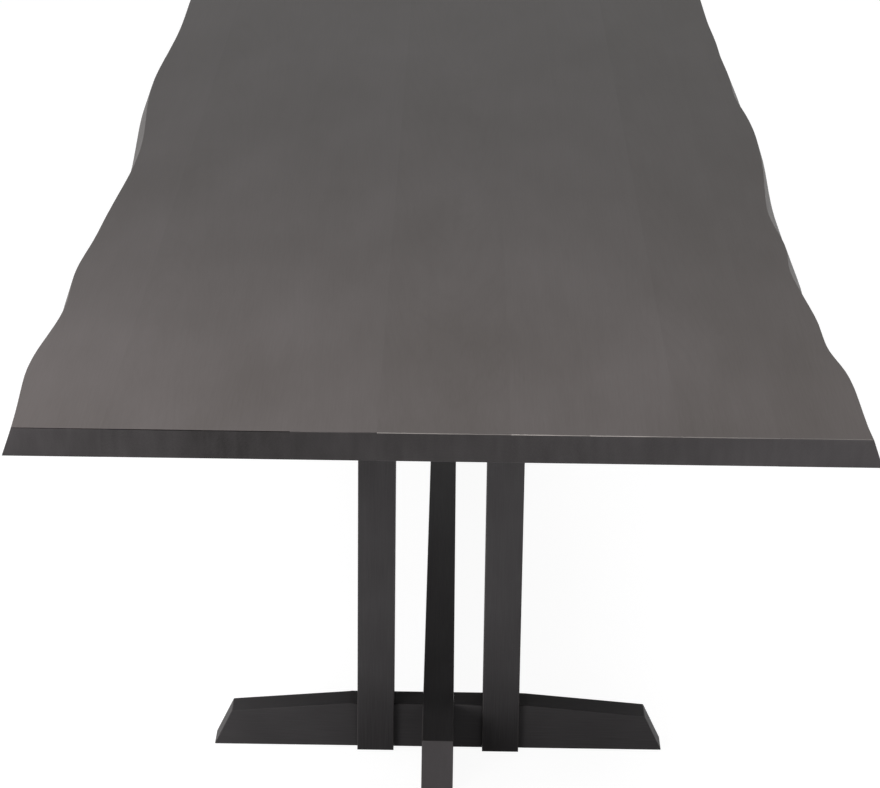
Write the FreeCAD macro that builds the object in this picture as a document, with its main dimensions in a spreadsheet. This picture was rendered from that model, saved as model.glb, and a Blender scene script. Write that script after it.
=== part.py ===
"""Live-edge trestle dining table, in millimetres.

A top of glued boards with two natural long edges stands on two pedestals. Each pedestal has a cross foot on
the floor, a cleat under the top and two posts half-lapped into both. A floor stretcher crosses both feet and
ends in a toe beyond each. Levelling feet are screwed into the ends of the feet and into the toes.

The frame: X runs across the table, Y along it from the near end to the far end and Z up, with the origin on
the floor under the middle of the top. A pedestal's own frame has its middle plane at Y = 0 and its outer side
towards -Y, so the far pedestal is the near one turned half round.
"""
import FreeCAD, Part
import os
import re

import Sketcher

SIZES = {
    # top
    "table_height": 764.0,
    "top_length": 2743.0,
    "top_width": 1125.0,
    "top_thick": 38.5,
    "arris": 0.6,
    "edge_wave": 36.0,
    "edge_flare": 13.4,
    "board_2_width": 130.0,
    "board_3_width": 110.0,
    "board_4_width": 110.0,
    "board_5_width": 170.0,
    "board_6_width": 100.0,
    "board_7_width": 115.0,
    "board_8_width": 125.0,
    # pedestals
    "end_overhang": 612.5,
    "floor_gap": 2.0,
    "foot_length": 693.0,
    "foot_thick": 44.0,
    "foot_height": 73.0,
    "foot_end_height": 57.5,
    "foot_rake": 27.5,
    "foot_flat": 274.0,
    "cleat_length": 820.0,
    "cleat_thick": 44.0,
    "cleat_height": 60.0,
    "cleat_end_height": 32.0,
    "cleat_rake": 20.0,
    "cleat_flat": 274.0,
    "post_width": 56.0,
    "post_depth": 58.0,
    "post_spacing": 193.0,
    "post_proud": 14.0,
    "lap_gap": 0.1,
    # stretcher
    "stretcher_width": 47.5,
    "stretcher_height": 73.0,
    "cross_lap_height": 36.5,
    "toe_reach": 151.0,
    "toe_rake": 27.5,
    # dowels
    "dowel_radius": 5.0,
    "dowel_depth": 22.0,
    "dowel_spacing": 30.0,
    "glue_gap": 0.2,
    # bolts
    "bolt_radius": 4.0,
    "bolt_head_height": 5.3,
    "bolt_head_radius": 7.5,
    "bolt_grip": 18.0,
    "bolt_reach": 16.0,
    "bolt_gap": 0.5,
    "bolt_pocket_radius": 13.0,
    "slot_travel": 4.0,
    "washer_radius": 9.0,
    "washer_thick": 1.6,
    "insert_radius": 6.0,
    "insert_length": 20.0,
    "insert_tip_gap": 2.0,
    "thread_gap": 0.2,
    # levelling feet
    "leveller_inset": 70.0,
    "pad_radius": 14.0,
    "pad_thick": 4.0,
    "pad_pocket_gap": 2.0,
    "socket_radius": 8.5,
    "socket_height": 9.5,
    "ball_radius": 5.0,
    "ball_height": 6.2,
    "ball_gap": 0.3,
    "neck_radius": 3.0,
    "hex_radius": 7.5,
    "hex_height": 4.0,
    "hex_gap": 1.0,
    "stop_gap": 0.4,
    "stem_radius": 4.0,
    "stem_length": 36.0,
    "stem_gap": 0.4,
    "flange_radius": 10.0,
    "flange_thick": 1.5,
}

# Natural edges, from the near end to the far end: share of the length, share of the wave's depth that the lower
# arris lies inside the widest line, and share of the flare between the lower and the upper arris.
LEFT_EDGE = (
    (0.000, 0.16, 1.00), (0.040, 0.09, 0.78), (0.082, 0.00, 0.64), (0.175, 0.35, 1.00), (0.233, 0.23, 0.93),
    (0.288, 0.42, 1.00), (0.339, 0.57, 1.00), (0.386, 0.74, 1.00), (0.445, 0.88, 1.10), (0.510, 0.72, 1.30),
    (0.576, 0.43, 1.15), (0.645, 0.27, 1.00), (0.729, 0.43, 1.00), (0.791, 0.56, 1.00), (0.890, 0.51, 1.00),
    (0.948, 0.50, 1.00), (1.000, 0.55, 1.00),
)
RIGHT_EDGE = (
    (0.000, 0.00, 1.03), (0.035, 0.04, 1.04), (0.069, 0.04, 1.04), (0.097, 0.20, 1.00), (0.122, 0.49, 1.00),
    (0.164, 0.56, 1.00), (0.190, 0.69, 0.95), (0.213, 0.81, 0.98), (0.240, 0.80, 1.40), (0.262, 0.76, 1.56),
    (0.291, 0.77, 1.18), (0.321, 0.82, 1.30), (0.358, 0.84, 1.68), (0.397, 0.85, 1.33), (0.448, 0.74, 0.86),
    (0.499, 0.56, 0.88), (0.543, 0.49, 0.97), (0.587, 0.61, 1.05), (0.627, 0.67, 1.45), (0.660, 0.69, 1.35),
    (0.693, 0.73, 1.20), (0.733, 0.88, 1.00), (0.777, 0.87, 1.00), (0.831, 0.95, 1.00), (0.893, 0.95, 1.00),
    (0.948, 0.93, 1.00), (1.000, 0.91, 1.00),
)

INNER_BOARDS = ("2", "3", "4", "5", "6", "7", "8")
BOLTED_BOARDS = ("2", "3", "7", "8")
ENDS = {"near": -1, "far": 1}
SIDES = {"left": -1, "right": 1}

# Places that several pieces share, as formulas of the sizes.
UNDERSIDE = "(table_height - top_thick)"
PEDESTAL = "(top_length / 2 - end_overhang - post_proud - foot_thick / 2)"
INNER_WIDTH = "(" + " + ".join(f"board_{n}_width" for n in INNER_BOARDS) + ")"
TOE_END = f"({PEDESTAL} + foot_thick / 2 + toe_reach)"
CROSS_LAP = "(floor_gap + cross_lap_height)"
HEX_BASE = "(socket_height + hex_gap)"
FLANGE_BASE = f"({HEX_BASE} + hex_height + stop_gap)"
INSERT_SEAT = f"({FLANGE_BASE} + flange_thick)"
STEM_TOP = f"({HEX_BASE} + hex_height + stem_length)"

UPRIGHT = FreeCAD.Rotation()
ALONG_Y = FreeCAD.Rotation(FreeCAD.Vector(1, 0, 0), -90)
HALF_TURN = FreeCAD.Rotation(FreeCAD.Vector(0, 0, 1), 180)

doc = FreeCAD.newDocument("dining_table")
sheet = doc.addObject("Spreadsheet::Sheet", "Sizes")
sub_parts = []


def fill_sheet():
    """Writes each driving dimension into the sheet, beside its name."""
    for row, (name, value) in enumerate(SIZES.items(), start=1):
        sheet.set(f"A{row}", name)
        sheet.set(f"B{row}", str(value))
        sheet.setAlias(f"B{row}", name)
    doc.recompute()


def sized(formula):
    """A formula of size names as an expression that refers to the sheet."""
    return re.sub(r"[a-z]\w*", lambda word: f"Sizes.{word[0]}" if word[0] in SIZES else word[0], formula)


def bind(item, **formulas):
    """Binds properties of an object to formulas of the sizes."""
    for name, formula in formulas.items():
        item.setExpression(name, sized(formula))


def place(item, x="0", y="0", z="0", turn=UPRIGHT):
    """Puts an object at a place given by formulas of the sizes."""
    item.Placement = FreeCAD.Placement(FreeCAD.Vector(), turn)
    for axis, formula in zip("xyz", (x, y, z)):
        item.setExpression(f"Placement.Base.{axis}", sized(formula))
    return item


def new_body(label):
    """An empty body that becomes a sub-part."""
    body = doc.addObject("PartDesign::Body", label)
    sub_parts.append(body)
    return body


def pad_outline(body, plane, points, depth, side_type):
    """Pads a closed outline, drawn on one of the body's own planes, whose points are pairs of formulas."""
    sketch = body.newObject("Sketcher::SketchObject", f"{body.Label}_outline")
    sketch.AttachmentSupport = [(next(f for f in body.Origin.OriginFeatures if f.Role == plane), "")]
    sketch.MapMode = "FlatFace"
    count = len(points)
    corners = [FreeCAD.Vector(*(doc_value(formula) for formula in point)) for point in points]
    for n in range(count):
        sketch.addGeometry(Part.LineSegment(corners[n], corners[(n + 1) % count]))
    for n in range(count):
        sketch.addConstraint(Sketcher.Constraint("Coincident", n, 2, (n + 1) % count, 1))
    for n, point in enumerate(points):
        for kind, formula in zip(("DistanceX", "DistanceY"), point):
            index = sketch.addConstraint(Sketcher.Constraint(kind, -1, 1, n, 1, doc_value(formula)))
            sketch.setExpression(f"Constraints[{index}]", sized(formula))
    pad = body.newObject("PartDesign::Pad", f"{body.Label}_pad")
    pad.Profile = sketch
    pad.SideType = side_type
    bind(pad, Length=depth)


def doc_value(formula):
    """The present value of a formula of the sizes."""
    return float(sheet.evalExpression(sized(formula)))


def cut_box(body, name, length, width, height, **where):
    """Cuts a box out of a body."""
    box = body.newObject("PartDesign::SubtractiveBox", f"{body.Label}_{name}")
    bind(box, Length=length, Width=width, Height=height)
    place(box, **where)


def cut_hole(body, name, radius, depth, **where):
    """Cuts a round hole out of a body."""
    hole = body.newObject("PartDesign::SubtractiveCylinder", f"{body.Label}_{name}")
    bind(hole, Radius=radius, Height=depth)
    place(hole, **where)


def cylinder(name, radius, height, **where):
    """A plain cylinder."""
    item = doc.addObject("Part::Cylinder", name)
    bind(item, Radius=radius, Height=height)
    return place(item, **where)


def hexagon(name, radius, height, **where):
    """A hexagonal prism, with the radius to its corners."""
    item = doc.addObject("Part::Prism", name)
    item.Polygon = 6
    bind(item, Circumradius=radius, Height=height)
    return place(item, **where)


def sphere(name, radius, **where):
    """A plain ball."""
    item = doc.addObject("Part::Sphere", name)
    bind(item, Radius=radius)
    return place(item, **where)


def fused(name, *pieces):
    """One solid made of several."""
    item = doc.addObject("Part::MultiFuse", name)
    item.Shapes = list(pieces)
    return item


def cut(name, base, *tools):
    """A solid with others taken away, one after the other."""
    for number, tool in enumerate(tools, start=1):
        result = doc.addObject("Part::Cut", name if number == len(tools) else f"{name}_stage_{number}")
        result.Base = base
        result.Tool = tool
        base = result
    return base


def group(label, pieces):
    """Identical pieces kept as separate solids of one sub-part."""
    item = doc.addObject("Part::Compound", label)
    item.Links = pieces
    sub_parts.append(item)


# The top

def board_start(number):
    """The left side of an inner board."""
    widths = "".join(f" + board_{n}_width" for n in INNER_BOARDS[:INNER_BOARDS.index(number)])
    return f"(-{INNER_WIDTH} / 2{widths})"


def board_middle(number):
    """The middle line of an inner board."""
    return f"({board_start(number)} + board_{number}_width / 2)"


def inner_board(number):
    """A square-edged board with eased ends and, over a cleat, holes for the threaded inserts."""
    body = new_body(f"top_board_{number}")
    end = "top_length / 2"
    points = [
        (f"-{end} + arris", "0"), (f"{end} - arris", "0"), (end, "arris"), (end, "top_thick - arris"),
        (f"{end} - arris", "top_thick"), (f"-{end} + arris", "top_thick"),
        (f"-{end}", "top_thick - arris"), (f"-{end}", "arris"),
    ]
    pad_outline(body, "YZ_Plane", points, f"board_{number}_width", "One side")
    if number in BOLTED_BOARDS:
        for name, end in ENDS.items():
            cut_hole(body, f"insert_hole_{name}", "insert_radius + glue_gap", "insert_length + insert_tip_gap",
                     x=f"board_{number}_width / 2", y=f"{end} * {PEDESTAL}")
    place(body, x=board_start(number), z=UNDERSIDE)


def live_edge_board(side):
    """An outer board: straight at its glued side, wavy and flared towards the underside at its natural side."""
    size = {name: float(getattr(sheet, name)) for name in SIZES}
    seam = doc_value(INNER_WIDTH) / 2
    sign = SIDES[side]
    edge = LEFT_EDGE if side == "left" else RIGHT_EDGE
    shares = [along for along, inset, flare in edge]
    joins = shares[:-1:2] + shares[-1:]

    def section(height, ease):
        half = size["top_length"] / 2 - ease
        rise = height / size["top_thick"]
        points = []
        for along, inset, flare in edge:
            reach = size["top_width"] / 2 - inset * size["edge_wave"] - rise * flare * size["edge_flare"]
            points.append(FreeCAD.Vector(sign * (reach - ease - seam), (2 * along - 1) * half, height))
        curve = Part.BSplineCurve()
        curve.interpolate(Points=points, Parameters=shares)
        runs = [curve.toShape(start, stop) for start, stop in zip(joins, joins[1:])]
        near = FreeCAD.Vector(0, -half, height)
        far = FreeCAD.Vector(0, half, height)
        return Part.Wire([Part.makeLine(near, points[0]), *runs,
                          Part.makeLine(points[-1], far), Part.makeLine(far, near)])

    ease = size["arris"]
    thick = size["top_thick"]
    sections = [section(0, ease), section(ease, 0), section(thick - ease, 0), section(thick, ease)]
    board = doc.addObject("Part::Feature", f"live_edge_board_{side}")
    board.Shape = Part.makeLoft(sections, True, True)
    place(board, x=f"{sign} * {INNER_WIDTH} / 2", z=UNDERSIDE)
    sub_parts.append(board)


# The pedestals

def raked_bar(label, length, height, end_height, rake, flat, thick, rise):
    """A bar with raked ends, flat in the middle and sloping to its ends; rise is -1 for one that hangs."""
    body = new_body(label)
    points = [
        (f"-{length} / 2", "0"), (f"{length} / 2", "0"),
        (f"{length} / 2 - {rake}", f"{rise} * {end_height}"), (f"{flat} / 2", f"{rise} * {height}"),
        (f"-{flat} / 2", f"{rise} * {height}"), (f"-{length} / 2 + {rake}", f"{rise} * {end_height}"),
    ]
    pad_outline(body, "XZ_Plane", points, thick, "Symmetric")
    return body


def cut_post_laps(body, thick, height, base):
    """Cuts the two half laps for the posts and their dowel holes into a foot or a cleat."""
    for side, sign in SIDES.items():
        middle = f"({sign} * post_spacing / 2)"
        cut_box(body, f"lap_{side}", "post_width + 2 * lap_gap", f"{thick} / 2", height,
                x=f"{middle} - post_width / 2 - lap_gap", y=f"-{thick} / 2", z=base)
        for place_name, step in (("low", -1), ("high", 1)):
            cut_hole(body, f"dowel_hole_{side}_{place_name}", "dowel_radius + glue_gap", thick,
                     x=middle, y=f"-{thick} / 2", z=f"{base} + {height} / 2 + {step} * dowel_spacing / 2",
                     turn=ALONG_Y)


def cut_leveller_holes(body, name, x, y, base):
    """Drills the pocket for a levelling foot's pad, the hole for its insert and the hole for its stem."""
    for part, radius, top in (("pocket", "pad_radius + pad_pocket_gap", INSERT_SEAT),
                              ("insert_hole", "insert_radius + glue_gap", f"{INSERT_SEAT} + insert_length"),
                              ("stem_hole", "stem_radius + stem_gap", f"{STEM_TOP} + insert_tip_gap")):
        cut_hole(body, f"{part}_{name}", radius, f"{top} - floor_gap", x=x, y=y, z=base)


def foot(end):
    """A cross foot, lapped for both posts and, from above, for the stretcher."""
    body = raked_bar(f"foot_{end}", "foot_length", "foot_height", "foot_end_height", "foot_rake", "foot_flat",
                     "foot_thick", 1)
    cut_post_laps(body, "foot_thick", "foot_height", "0")
    cut_box(body, "stretcher_lap", "stretcher_width + 2 * lap_gap", "foot_thick", "foot_height - cross_lap_height",
            x="-stretcher_width / 2 - lap_gap", y="-foot_thick / 2", z="cross_lap_height")
    cut_hole(body, "bolt_hole", "bolt_radius + bolt_gap", "cross_lap_height")
    cut_hole(body, "bolt_pocket", "bolt_pocket_radius", "cross_lap_height - bolt_grip")
    for side, sign in SIDES.items():
        cut_leveller_holes(body, side, f"{sign} * (foot_length / 2 - leveller_inset)", "0", "0")
    place(body, y=f"{ENDS[end]} * {PEDESTAL}", z="floor_gap", turn=UPRIGHT if end == "near" else HALF_TURN)


def cleat(end):
    """A bearer under the top, lapped for both posts, with slots that let the top move across its width."""
    body = raked_bar(f"cleat_{end}", "cleat_length", "cleat_height", "cleat_end_height", "cleat_rake",
                     "cleat_flat", "cleat_thick", -1)
    cut_post_laps(body, "cleat_thick", "cleat_height", "-cleat_height")
    turned = 1 if end == "near" else -1
    for number in BOLTED_BOARDS:
        middle = f"({turned} * {board_middle(number)})"
        cut_box(body, f"slot_{number}", "2 * slot_travel", "2 * (bolt_radius + bolt_gap)", "cleat_height",
                x=f"{middle} - slot_travel", y="-bolt_radius - bolt_gap", z="-cleat_height")
        for end_name, step in (("start", -1), ("stop", 1)):
            cut_hole(body, f"slot_{number}_{end_name}", "bolt_radius + bolt_gap", "cleat_height",
                     x=f"{middle} + {step} * slot_travel", z="-cleat_height")
        cut_hole(body, f"pocket_{number}", "bolt_pocket_radius", "cleat_height - bolt_grip",
                 x=middle, z="-cleat_height")
    place(body, y=f"{ENDS[end]} * {PEDESTAL}", z=UNDERSIDE, turn=UPRIGHT if end == "near" else HALF_TURN)


def post(end, side):
    """A square post, notched at both ends on its inner side for the foot and the cleat."""
    body = new_body(f"post_{end}_{side}")
    height = f"({UNDERSIDE} - floor_gap)"
    front = "(foot_thick / 2 + post_proud)"
    blank = body.newObject("PartDesign::AdditiveBox", f"{body.Label}_blank")
    bind(blank, Length="post_width", Width="post_depth", Height=height)
    place(blank, x="-post_width / 2", y=f"-{front}")
    laps = (("foot", "foot_height", "0"), ("cleat", "cleat_height", f"({height} - cleat_height)"))
    for name, lap_height, base in laps:
        cut_box(body, f"{name}_lap", "post_width", "post_depth", lap_height, x="-post_width / 2", z=base)
        for place_name, step in (("low", -1), ("high", 1)):
            cut_hole(body, f"{name}_dowel_hole_{place_name}", "dowel_radius + glue_gap", "dowel_depth + glue_gap",
                     y="-dowel_depth - glue_gap", z=f"{base} + {lap_height} / 2 + {step} * dowel_spacing / 2",
                     turn=ALONG_Y)
    place(body, x=f"{SIDES[side]} * post_spacing / 2", y=f"{ENDS[end]} * {PEDESTAL}", z="floor_gap",
          turn=UPRIGHT if end == "near" else HALF_TURN)


def stretcher():
    """The bar along the floor, lapped over both feet from below, with raked toes."""
    body = new_body("stretcher")
    points = [
        (f"-{TOE_END}", "0"), (TOE_END, "0"),
        (f"{TOE_END} - toe_rake", "stretcher_height"), (f"-{TOE_END} + toe_rake", "stretcher_height"),
    ]
    pad_outline(body, "YZ_Plane", points, "stretcher_width", "Symmetric")
    for name, end in ENDS.items():
        middle = f"({end} * {PEDESTAL})"
        cut_box(body, f"foot_lap_{name}", "stretcher_width", "foot_thick + 2 * lap_gap", "cross_lap_height",
                x="-stretcher_width / 2", y=f"{middle} - foot_thick / 2 - lap_gap")
        cut_hole(body, f"insert_hole_{name}", "insert_radius + glue_gap", "insert_length + insert_tip_gap",
                 y=middle, z="cross_lap_height")
        cut_leveller_holes(body, name, "0", f"{end} * ({TOE_END} - leveller_inset)", "0")
    place(body, z="floor_gap")


# The fasteners

def bolt(name, x, y, ledge):
    """A hexagon-head bolt driven up against a washer."""
    seat = f"({ledge} - washer_thick)"
    head = hexagon(f"{name}_head", "bolt_head_radius", "bolt_head_height", x=x, y=y, z=f"{seat} - bolt_head_height")
    shank = cylinder(f"{name}_shank", "bolt_radius", "washer_thick + bolt_grip + bolt_reach", x=x, y=y, z=seat)
    return fused(name, head, shank)


def washer(name, x, y, ledge):
    """A flat ring under a bolt's head."""
    where = {"x": x, "y": y, "z": f"{ledge} - washer_thick"}
    ring = cylinder(f"{name}_ring", "washer_radius", "washer_thick", **where)
    bore = cylinder(f"{name}_bore", "bolt_radius + thread_gap", "washer_thick", **where)
    return cut(name, ring, bore)


def insert(name, x, y, base):
    """A plain threaded sleeve."""
    sleeve = cylinder(f"{name}_sleeve", "insert_radius", "insert_length", x=x, y=y, z=base)
    bore = cylinder(f"{name}_bore", "bolt_radius + thread_gap", "insert_length", x=x, y=y, z=base)
    return cut(name, sleeve, bore)


def flanged_insert(name, x, y):
    """A threaded sleeve with a flange that takes a levelling foot's load."""
    flange = cylinder(f"{name}_flange", "flange_radius", "flange_thick", x=x, y=y, z=FLANGE_BASE)
    sleeve = cylinder(f"{name}_sleeve", "insert_radius", "insert_length", x=x, y=y, z=INSERT_SEAT)
    bore = cylinder(f"{name}_bore", "stem_radius + ball_gap", "flange_thick + insert_length",
                    x=x, y=y, z=FLANGE_BASE)
    return cut(name, fused(f"{name}_whole", flange, sleeve), bore)


def bolted_joint(label, places, joint):
    """The bolts, washers and inserts of one kind of joint; joint is the face where the two pieces meet."""
    ledge = f"({joint} - bolt_grip)"
    group(f"{label}_bolts", [bolt(f"{label}_bolt_{n}", x, y, ledge) for n, (x, y) in enumerate(places, 1)])
    group(f"{label}_washers", [washer(f"{label}_washer_{n}", x, y, ledge) for n, (x, y) in enumerate(places, 1)])
    group(f"{label}_inserts", [insert(f"{label}_insert_{n}", x, y, joint) for n, (x, y) in enumerate(places, 1)])


def dowels(label, thick, height, base):
    """The dowels that pin the posts to the feet or the cleats, flush with the inner faces."""
    pieces = []
    for end_name, end in ENDS.items():
        start = f"{end} * {PEDESTAL} - " + ("dowel_depth" if end < 0 else f"{thick} / 2")
        for side, sign in SIDES.items():
            for place_name, step in (("low", -1), ("high", 1)):
                pieces.append(cylinder(f"{label}_{end_name}_{side}_{place_name}", "dowel_radius",
                                       f"dowel_depth + {thick} / 2", x=f"{sign} * post_spacing / 2", y=start,
                                       z=f"{base} + {height} / 2 + {step} * dowel_spacing / 2", turn=ALONG_Y))
    group(label, pieces)


# The levelling feet

def levelling_foot(name, x, y):
    """A swivelling pad and the threaded stem whose ball end it holds."""
    where = {"x": x, "y": y}
    base = cylinder(f"{name}_base", "pad_radius", "pad_thick", **where)
    boss = cylinder(f"{name}_boss", "socket_radius", "socket_height", **where)
    cavity = sphere(f"{name}_cavity", "ball_radius + ball_gap", z="ball_height", **where)
    sub_parts.append(cut(f"pad_{name}", fused(f"{name}_blank", base, boss), cavity))
    ball = sphere(f"{name}_ball", "ball_radius", z="ball_height", **where)
    neck = cylinder(f"{name}_neck", "neck_radius", f"{HEX_BASE} - ball_height", z="ball_height", **where)
    grip = hexagon(f"{name}_hexagon", "hex_radius", "hex_height", z=HEX_BASE, **where)
    thread = cylinder(f"{name}_thread", "stem_radius", "hex_height + stem_length", z=HEX_BASE, **where)
    sub_parts.append(fused(f"stem_{name}", ball, neck, grip, thread))


def leveller_places():
    """Where the levelling feet stand: under the ends of both feet and under both toes."""
    places = {}
    for end_name, end in ENDS.items():
        for side, sign in SIDES.items():
            places[f"{end_name}_{side}"] = (f"{sign} * (foot_length / 2 - leveller_inset)", f"{end} * {PEDESTAL}")
        places[f"{end_name}_toe"] = ("0", f"{end} * ({TOE_END} - leveller_inset)")
    return places


def build():
    """Makes every sub-part of the table."""
    fill_sheet()
    for side in SIDES:
        live_edge_board(side)
    for number in INNER_BOARDS:
        inner_board(number)
    for end in ENDS:
        foot(end)
        cleat(end)
        for side in SIDES:
            post(end, side)
    stretcher()
    cleat_places = [(board_middle(n), f"{end} * {PEDESTAL}") for end in ENDS.values() for n in BOLTED_BOARDS]
    bolted_joint("cleat", cleat_places, UNDERSIDE)
    bolted_joint("stretcher", [("0", f"{end} * {PEDESTAL}") for end in ENDS.values()], CROSS_LAP)
    dowels("foot_dowels", "foot_thick", "foot_height", "floor_gap")
    dowels("cleat_dowels", "cleat_thick", "cleat_height", f"({UNDERSIDE} - cleat_height)")
    places = leveller_places()
    group("leveller_inserts", [flanged_insert(f"leveller_insert_{name}", *xy) for name, xy in places.items()])
    for name, xy in places.items():
        levelling_foot(name, *xy)
    doc.recompute()


def check():
    """Stops the build if any object failed or any sub-part has no sound shape."""
    for item in doc.Objects:
        if {"Invalid", "Error"} & set(item.State):
            raise RuntimeError(f"{item.Label} did not build: {item.State}")
    for item in sub_parts:
        if item.Shape.isNull() or not item.Shape.isValid() or not item.Shape.Solids:
            raise RuntimeError(f"{item.Label} has no sound shape")


def write():
    """Writes each sub-part to a file named by its label."""
    os.makedirs("parts", exist_ok=True)
    for item in sub_parts:
        item.Shape.exportStep(f"parts/{item.Label}.step")


build()
check()
write()
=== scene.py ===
"""A live-edge trestle dining table in dark stained maple, in metres, on a white studio floor.

X runs across the table, Y along it from the near end to the far end and Z up from the floor.
"""

import math

import bmesh
import bpy
import numpy as np
from bpy.props import FloatProperty, FloatVectorProperty, IntProperty, PointerProperty
from mathutils import Matrix, Vector
from mathutils.bvhtree import BVHTree


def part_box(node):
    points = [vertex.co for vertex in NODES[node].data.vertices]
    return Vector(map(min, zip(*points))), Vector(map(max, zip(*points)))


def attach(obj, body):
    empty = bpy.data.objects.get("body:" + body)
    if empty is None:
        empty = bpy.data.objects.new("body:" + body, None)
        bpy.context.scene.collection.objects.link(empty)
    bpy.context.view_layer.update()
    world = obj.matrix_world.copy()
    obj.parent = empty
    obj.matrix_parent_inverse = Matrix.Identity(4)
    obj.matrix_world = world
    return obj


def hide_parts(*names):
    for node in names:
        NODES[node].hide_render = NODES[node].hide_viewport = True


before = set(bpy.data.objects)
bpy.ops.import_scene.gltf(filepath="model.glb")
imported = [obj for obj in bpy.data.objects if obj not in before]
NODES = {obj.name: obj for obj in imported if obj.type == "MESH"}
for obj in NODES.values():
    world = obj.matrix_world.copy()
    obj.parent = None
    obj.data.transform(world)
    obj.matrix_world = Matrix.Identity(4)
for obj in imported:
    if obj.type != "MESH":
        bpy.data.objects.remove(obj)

bl_info = {
    "name": "Live-edge dining table",
    "version": (1, 0, 0),
    "blender": (4, 5, 0),
    "location": "3D View > Sidebar > Table",
    "description": "Boards, pedestals, fasteners and levelling feet of a stained trestle table, on a stage",
    "category": "Object",
}

MM = 0.001

# How far a spanner hexagon reaches to its flats, and to the start of its chamfer, where it reaches 1 to its
# corners.
HEXAGON_FLAT = math.cos(math.pi / 6)
CROWN = 0.95 * HEXAGON_FLAT

# Limits of length: points that are one, points at one height, pieces that touch, pieces that lie close,
# points away from a seam, edges too short to round, and faces as narrow as an arris or small as a rounding.
WELD = 0.005 * MM
LEVEL = 0.01 * MM
TOUCH = 0.3 * MM
CLOSE = 2 * MM
OFF_SEAM = 5 * MM
SHORT_EDGE = 12 * MM
NARROW = 3 * MM
SMALL_FACE = 400 * MM * MM

# Limits of angle: faces that are one flat face, faces that shade as one, and edges sharp enough to round.
FLAT = math.radians(1)
SOFT_TURN = math.radians(35)
SHARP = math.radians(25)

# How much a face points along the grain to be end grain, and upwards for an arris to be rubbed and lit:
# given the worn colour, partly wear and partly a painted highlight.
END_FACING = 0.7
RUBBED_AND_LIT_FACING = -0.1

# A slanted line along which a post's faces are counted, so that they come in the same order each time.
SLANT = Vector((1.0, 7.3, 61.7))

# Steps round an arris and over the flank of a natural edge, and rows over a ball.
ARRIS_STEPS = 4
FLANK_STEPS = 7
BALL_ROWS = 12

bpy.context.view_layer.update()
LIVE_BOARDS = ("live_edge_board_left", "live_edge_board_right")
INNER_BOARDS = tuple(f"top_board_{n}" for n in range(2, 9))
POSTS = ("post_near_left", "post_near_right", "post_far_left", "post_far_right")
CROSS_BARS = ("foot_near", "foot_far", "cleat_near", "cleat_far")
WOOD_NODES = LIVE_BOARDS + INNER_BOARDS + POSTS + CROSS_BARS + ("stretcher",)
TOP_BOARDS = (LIVE_BOARDS[0], *INNER_BOARDS, LIVE_BOARDS[1])
TOP_MIDDLES = [sum(corner.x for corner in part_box(node)) / 2 for node in TOP_BOARDS]
DOWELS = ("foot_dowels", "cleat_dowels")
LEVELLERS = tuple(f"{end}_{place}" for end in ("near", "far") for place in ("left", "right", "toe"))

# How each piece was sawn and stained: how far beside and below its middle the tree's heart lay, in metres,
# how far the heart leans along the piece, how much lighter its sides and its ends are coloured, which also
# paints in light and shade (the near posts lighter than the far ones, the right-hand boards of the top and
# the right live edge darker, the stretcher's ends lighter where the toe stands out of the top's shade), and
# how far its arrises are lightened, partly as wear and partly as a painted highlight, or below zero darkened
# as a painted dark reflection.
SAWN = {
    "live_edge_board_left": (0.16, 0.05, 0.012, 0.07, 0.20, -0.6),
    "top_board_2": (0.02, 0.10, 0.030, 0.00, -0.17, -0.4),
    "top_board_3": (-0.13, 0.06, -0.010, -0.02, -0.38, -0.3),
    "top_board_4": (0.15, 0.09, 0.014, -0.03, -0.18, 0.1),
    "top_board_5": (-0.03, 0.12, -0.034, -0.10, -0.11, 1.2),
    "top_board_6": (0.14, 0.07, 0.011, -0.09, -0.03, 1.8),
    "top_board_7": (-0.12, 0.09, 0.016, -0.10, 0.13, 1.8),
    "top_board_8": (0.05, 0.11, 0.028, -0.21, 0.25, 1.2),
    "live_edge_board_right": (-0.16, 0.05, -0.012, -0.25, 0.40, 0.7),
    "post_near_left": (0.12, 0.07, 0.010, 0.20, 0.00, 0.2),
    "post_near_right": (-0.10, 0.09, -0.012, 0.30, 0.00, 0.2),
    "post_far_left": (0.13, -0.06, 0.009, -0.03, 0.00, 0.2),
    "post_far_right": (-0.11, -0.08, 0.011, 0.00, 0.00, 0.2),
    "foot_near": (0.09, 0.10, 0.020, -0.01, 0.15, 0.05),
    "foot_far": (-0.10, 0.08, -0.018, -0.01, 0.15, 0.05),
    "cleat_near": (0.10, -0.09, 0.016, -0.06, 0.00, 0.1),
    "cleat_far": (-0.09, -0.10, -0.015, -0.06, 0.00, 0.1),
    "stretcher": (0.11, 0.08, 0.012, -0.15, 0.85, 0.2),
    "foot_dowels": (0.06, 0.05, 0.000, 0.00, 0.00, 0.0),
    "cleat_dowels": (-0.06, 0.05, 0.000, 0.00, 0.00, 0.0),
}

# How much lighter the ends of the top are coloured in the middle of each board. It changes slowly between
# them.
END_TONES = [SAWN[board][4] for board in TOP_BOARDS]

# How far apart the pieces lie along the patterns of the grain, in metres, so that no two look alike.
GRAIN_STEP = 3.7

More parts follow.
